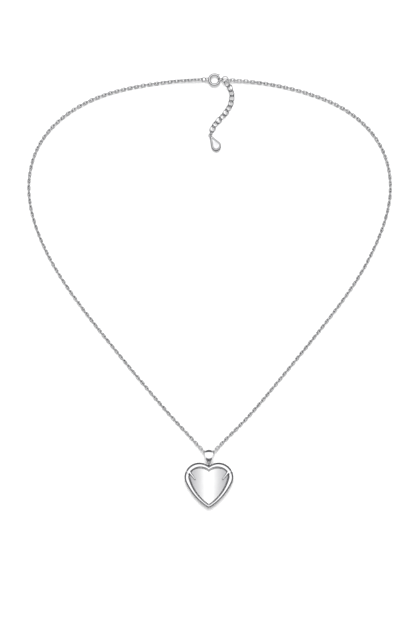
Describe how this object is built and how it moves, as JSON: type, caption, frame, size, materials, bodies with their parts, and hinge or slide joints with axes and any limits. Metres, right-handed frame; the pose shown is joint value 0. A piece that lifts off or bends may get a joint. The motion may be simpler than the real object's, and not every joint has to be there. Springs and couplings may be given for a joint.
{
  "type": "pendant necklace",
  "caption": "Fine cable-chain necklace with a framed heart cabochon pendant, spring-ring clasp and an extender chain ending in a drop tag.",
  "frame": {"origin": "middle of the pendant's flat back, on the surface the necklace lies on", "axes": "+Y up the chest from the heart's tip to the clasp, +X to the viewer's right, +Z out of the stone's face"},
  "size_m": [0.1461, 0.1734, 0.0034],
  "materials": {
    "pendant_silver": "polished",
    "chain_silver": "polished",
    "extender_silver": "polished",
    "finding_silver": "polished",
    "spring_steel": "drawn wire",
    "stone": "polished cabochon"
  },
  "bodies": {
    "pendant": {"back_plate": "pendant_silver", "rim_lower": "pendant_silver", "rim_upper": "pendant_silver", "stone": "stone", "eyelet": "pendant_silver"},
    "jump_ring": {"jump_ring": "pendant_silver"},
    "bail": {"bail": "pendant_silver"},
    "chain_middle": {"chain_middle": "chain_silver"},
    "chain_left_01": {"chain_left_01": "chain_silver"},
    "chain_left_02": {"chain_left_02": "chain_silver"},
    "chain_left_03": {"chain_left_03": "chain_silver"},
    "chain_left_04": {"chain_left_04": "chain_silver"},
    "chain_left_05": {"chain_left_05": "chain_silver"},
    "chain_left_06": {"chain_left_06": "chain_silver"},
    "chain_left_07": {"chain_left_07": "chain_silver"},
    "chain_left_08": {"chain_left_08": "chain_silver"},
    "chain_left_09": {"chain_left_09": "chain_silver"},
    "chain_left_10": {"chain_left_10": "chain_silver"},
    "chain_right_01": {"chain_right_01": "chain_silver"},
    "chain_right_02": {"chain_right_02": "chain_silver"},
    "chain_right_03": {"chain_right_03": "chain_silver"},
    "chain_right_04": {"chain_right_04": "chain_silver"},
    "chain_right_05": {"chain_right_05": "chain_silver"},
    "chain_right_06": {"chain_right_06": "chain_silver"},
    "chain_right_07": {"chain_right_07": "chain_silver"},
    "chain_right_08": {"chain_right_08": "chain_silver"},
    "chain_right_09": {"chain_right_09": "chain_silver"},
    "chain_right_10": {"chain_right_10": "chain_silver"},
    "clasp_jump_ring": {"clasp_jump_ring": "finding_silver"},
    "clasp": {"clasp_tube": "finding_silver", "clasp_spring": "spring_steel", "clasp_loop": "finding_silver"},
    "clasp_bolt": {"clasp_bolt": "finding_silver"},
    "catch_ring": {"catch_ring": "finding_silver"},
    "catch_link": {"catch_link": "finding_silver"},
    "extender_01": {"extender_01": "extender_silver"},
    "extender_02": {"extender_02": "extender_silver"},
    "extender_03": {"extender_03": "extender_silver"},
    "extender_04": {"extender_04": "extender_silver"},
    "extender_05": {"extender_05": "extender_silver"},
    "extender_06": {"extender_06": "extender_silver"},
    "extender_07": {"extender_07": "extender_silver"},
    "extender_08": {"extender_08": "extender_silver"},
    "extender_09": {"extender_09": "extender_silver"},
    "extender_10": {"extender_10": "extender_silver"},
    "extender_11": {"extender_11": "extender_silver"},
    "tag_ring": {"tag_ring": "finding_silver"},
    "tag": {"tag": "finding_silver", "tag_eye": "finding_silver"}
  },
  "joints": [
    {"name": "jump_ring_swing", "type": "hinge", "parent": "pendant", "child": "jump_ring", "pos_m": [0, 0.0087, 0.0017], "axis": [1, 0, 0], "range_deg": [-30, 30]},
    {"name": "bail_swing", "type": "hinge", "parent": "jump_ring", "child": "bail", "pos_m": [0, 0.01025, 0.0017], "axis": [0, 0, 1], "range_deg": [-15, 15]},
    {"name": "pendant_tip", "type": "hinge", "parent": "bail", "child": "chain_middle", "pos_m": [0, 0.01282, 0.0016], "axis": [1, 0, 0], "range_deg": [-30, 30]},
    {"name": "chain_left_01_lift", "type": "hinge", "parent": "chain_middle", "child": "chain_left_01", "pos_m": [-0.00213, 0.01337, 0.0016], "axis": [-0.4067, -0.9135, 0], "range_deg": [-30, 30]},
    {"name": "chain_left_02_lift", "type": "hinge", "parent": "chain_left_01", "child": "chain_left_02", "pos_m": [-0.01671, 0.02937, 0.0007], "axis": [-0.7107, -0.6319, 0.309], "range_deg": [-30, 30]},
    {"name": "chain_left_03_lift", "type": "hinge", "parent": "chain_left_02", "child": "chain_left_03", "pos_m": [-0.03069, 0.04584, 0.0007], "axis": [0.7328, 0.6062, -0.309], "range_deg": [-30, 30]},
    {"name": "chain_left_04_lift", "type": "hinge", "parent": "chain_left_03", "child": "chain_left_04", "pos_m": [-0.04431, 0.06261, 0.0007], "axis": [0.7445, 0.5918, -0.309], "range_deg": [-30, 30]},
    {"name": "chain_left_05_lift", "type": "hinge", "parent": "chain_left_04", "child": "chain_left_05", "pos_m": [-0.05717, 0.07996, 0.0007], "axis": [-0.7877, -0.5329, 0.309], "range_deg": [-30, 30]},
    {"name": "chain_left_06_lift", "type": "hinge", "parent": "chain_left_05", "child": "chain_left_06", "pos_m": [-0.06752, 0.09888, 0.0007], "axis": [-0.8753, -0.372, 0.309], "range_deg": [-30, 30]},
    {"name": "chain_left_07_lift", "type": "hinge", "parent": "chain_left_06", "child": "chain_left_07", "pos_m": [-0.07196, 0.12254, 0.0007], "axis": [0.949, -0.062, -0.309], "range_deg": [-30, 30]},
    {"name": "chain_left_08_lift", "type": "hinge", "parent": "chain_left_07", "child": "chain_left_08", "pos_m": [-0.06375, 0.14213, 0.0007], "axis": [0.7314, -0.6079, -0.309], "range_deg": [-30, 30]},
    {"name": "chain_left_09_lift", "type": "hinge", "parent": "chain_left_08", "child": "chain_left_09", "pos_m": [-0.04621, 0.15445, 0.0007], "axis": [-0.3885, 0.8681, 0.309], "range_deg": [-30, 30]},
    {"name": "chain_left_10_lift", "type": "hinge", "parent": "chain_left_09", "child": "chain_left_10", "pos_m": [-0.02541, 0.16009, 0.0007], "axis": [-0.1599, 0.9375, 0.309], "range_deg": [-30, 30]},
    {"name": "chain_right_01_lift", "type": "hinge", "parent": "chain_middle", "child": "chain_right_01", "pos_m": [0.00213, 0.01337, 0.0016], "axis": [-0.4067, 0.9135, 0], "range_deg": [-30, 30]},
    {"name": "chain_right_02_lift", "type": "hinge", "parent": "chain_right_01", "child": "chain_right_02", "pos_m": [0.01706, 0.02889, 0.0007], "axis": [-0.7043, 0.6392, -0.309], "range_deg": [-30, 30]},
    {"name": "chain_right_03_lift", "type": "hinge", "parent": "chain_right_02", "child": "chain_right_03", "pos_m": [0.03088, 0.04535, 0.0007], "axis": [0.7338, -0.605, 0.309], "range_deg": [-30, 30]},
    {"name": "chain_right_04_lift", "type": "hinge", "parent": "chain_right_03", "child": "chain_right_04", "pos_m": [0.04441, 0.06205, 0.0007], "axis": [0.7457, -0.5902, 0.309], "range_deg": [-30, 30]},
    {"name": "chain_right_05_lift", "type": "hinge", "parent": "chain_right_04", "child": "chain_right_05", "pos_m": [0.05727, 0.07927, 0.0007], "axis": [-0.785, 0.5369, -0.309], "range_deg": [-30, 30]},
    {"name": "chain_right_06_lift", "type": "hinge", "parent": "chain_right_05", "child": "chain_right_06", "pos_m": [0.06758, 0.09809, 0.0007], "axis": [-0.8721, 0.3794, -0.309], "range_deg": [-30, 30]},
    {"name": "chain_right_07_lift", "type": "hinge", "parent": "chain_right_06", "child": "chain_right_07", "pos_m": [0.07268, 0.11883, 0.0007], "axis": [0.9505, -0.0339, 0.309], "range_deg": [-30, 30]},
    {"name": "chain_right_08_lift", "type": "hinge", "parent": "chain_right_07", "child": "chain_right_08", "pos_m": [0.06664, 0.1391, 0.0007], "axis": [0.7916, 0.5271, 0.309], "range_deg": [-30, 30]},
    {"name": "chain_right_09_lift", "type": "hinge", "parent": "chain_right_08", "child": "chain_right_09", "pos_m": [0.05022, 0.15263, 0.0007], "axis": [-0.434, -0.8462, -0.309], "range_deg": [-30, 30]},
    {"name": "chain_right_10_lift", "type": "hinge", "parent": "chain_right_09", "child": "chain_right_10", "pos_m": [0.02986, 0.15937, 0.0007], "axis": [-0.211, -0.9274, -0.309], "range_deg": [-30, 30]},
    {"name": "clasp_jump_ring_swing", "type": "hinge", "parent": "chain_left_10", "child": "clasp_jump_ring", "pos_m": [-0.003, 0.1622, 0.00121], "axis": [0, 0.6157, 0.788], "range_deg": [-45, 45]},
    {"name": "clasp_swing", "type": "hinge", "parent": "clasp_jump_ring", "child": "clasp", "pos_m": [-0.00145, 0.1622, 0.00121], "axis": [0, -1, 0], "range_deg": [-45, 45]},
    {"name": "clasp_bolt_slide", "type": "hinge", "parent": "clasp", "child": "clasp_bolt", "pos_m": [0.0022, 0.1622, 0.00121], "axis": [0, 0, 1], "range_deg": [0, 60], "stiffness_Nm_per_rad": 0.0002, "springref_deg": -28.65, "deforming": ["clasp_spring"]},
    {"name": "catch_ring_turn", "type": "hinge", "parent": "chain_right_10", "child": "catch_ring", "pos_m": [0.00648, 0.1622, 0.00121], "axis": [0.9976, -0.0698, 0], "range_deg": [-20, 20]},
    {"name": "catch_link_turn", "type": "hinge", "parent": "catch_ring", "child": "catch_link", "pos_m": [0.00648, 0.1622, 0.00121], "axis": [1, 0, 0], "range_deg": [-30, 30]},
    {"name": "extender_01_swing", "type": "hinge", "parent": "catch_ring", "child": "extender_01", "pos_m": [0.00698, 0.16108, 0.00121], "axis": [0.9135, 0.4067, 0], "range_deg": [-15, 15]},
    {"name": "extender_02_swing", "type": "hinge", "parent": "extender_01", "child": "extender_02", "pos_m": [0.00792, 0.15928, 0.00121], "axis": [0.6144, 0.35, -0.7071], "range_deg": [-25, 25]},
    {"name": "extender_03_swing", "type": "hinge", "parent": "extender_02", "child": "extender_03", "pos_m": [0.00905, 0.15753, 0.00121], "axis": [-0.6355, -0.31, -0.7071], "range_deg": [-25, 25]},
    {"name": "extender_04_swing", "type": "hinge", "parent": "extender_03", "child": "extender_04", "pos_m": [0.00929, 0.15541, 0.00121], "axis": [-0.6982, -0.1119, 0.7071], "range_deg": [-25, 25]},
    {"name": "extender_05_swing", "type": "hinge", "parent": "extender_04", "child": "extender_05", "pos_m": [0.009, 0.15331, 0.00121], "axis": [0.7039, -0.0671, 0.7071], "range_deg": [-25, 25]},
    {"name": "extender_06_swing", "type": "hinge", "parent": "extender_05", "child": "extender_06", "pos_m": [0.00828, 0.15132, 0.00121], "axis": [0.6722, -0.2194, -0.7071], "range_deg": [-25, 25]},
    {"name": "extender_07_swing", "type": "hinge", "parent": "extender_06", "child": "extender_07", "pos_m": [0.0072, 0.1495, 0.00121], "axis": [-0.6184, 0.3429, -0.7071], "range_deg": [-25, 25]},
    {"name": "extender_08_swing", "type": "hinge", "parent": "extender_07", "child": "extender_08", "pos_m": [0.00587, 0.14786, 0.00121], "axis": [-0.5633, 0.4275, 0.7071], "range_deg": [-25, 25]},
    {"name": "extender_09_swing", "type": "hinge", "parent": "extender_08", "child": "extender_09", "pos_m": [0.00442, 0.14633, 0.00121], "axis": [0.5255, -0.4731, 0.7071], "range_deg": [-25, 25]},
    {"name": "extender_10_swing", "type": "hinge", "parent": "extender_09", "child": "extender_10", "pos_m": [0.00298, 0.14481, 0.00121], "axis": [0.5241, -0.4747, -0.7071], "range_deg": [-25, 25]},
    {"name": "extender_11_swing", "type": "hinge", "parent": "extender_10", "child": "extender_11", "pos_m": [0.00172, 0.14313, 0.00121], "axis": [-0.5734, 0.4138, -0.7071], "range_deg": [-25, 25]},
    {"name": "tag_ring_swing", "type": "hinge", "parent": "extender_11", "child": "tag_ring", "pos_m": [0.00074, 0.14127, 0.00121], "axis": [0.6074, -0.3621, -0.7071], "range_deg": [-25, 25]},
    {"name": "tag_swing", "type": "hinge", "parent": "tag_ring", "child": "tag", "pos_m": [0.00057, 0.14009, 0.00075], "axis": [0.3855, -0.3129, 0.868], "range_deg": [-25, 25]}
  ]
}
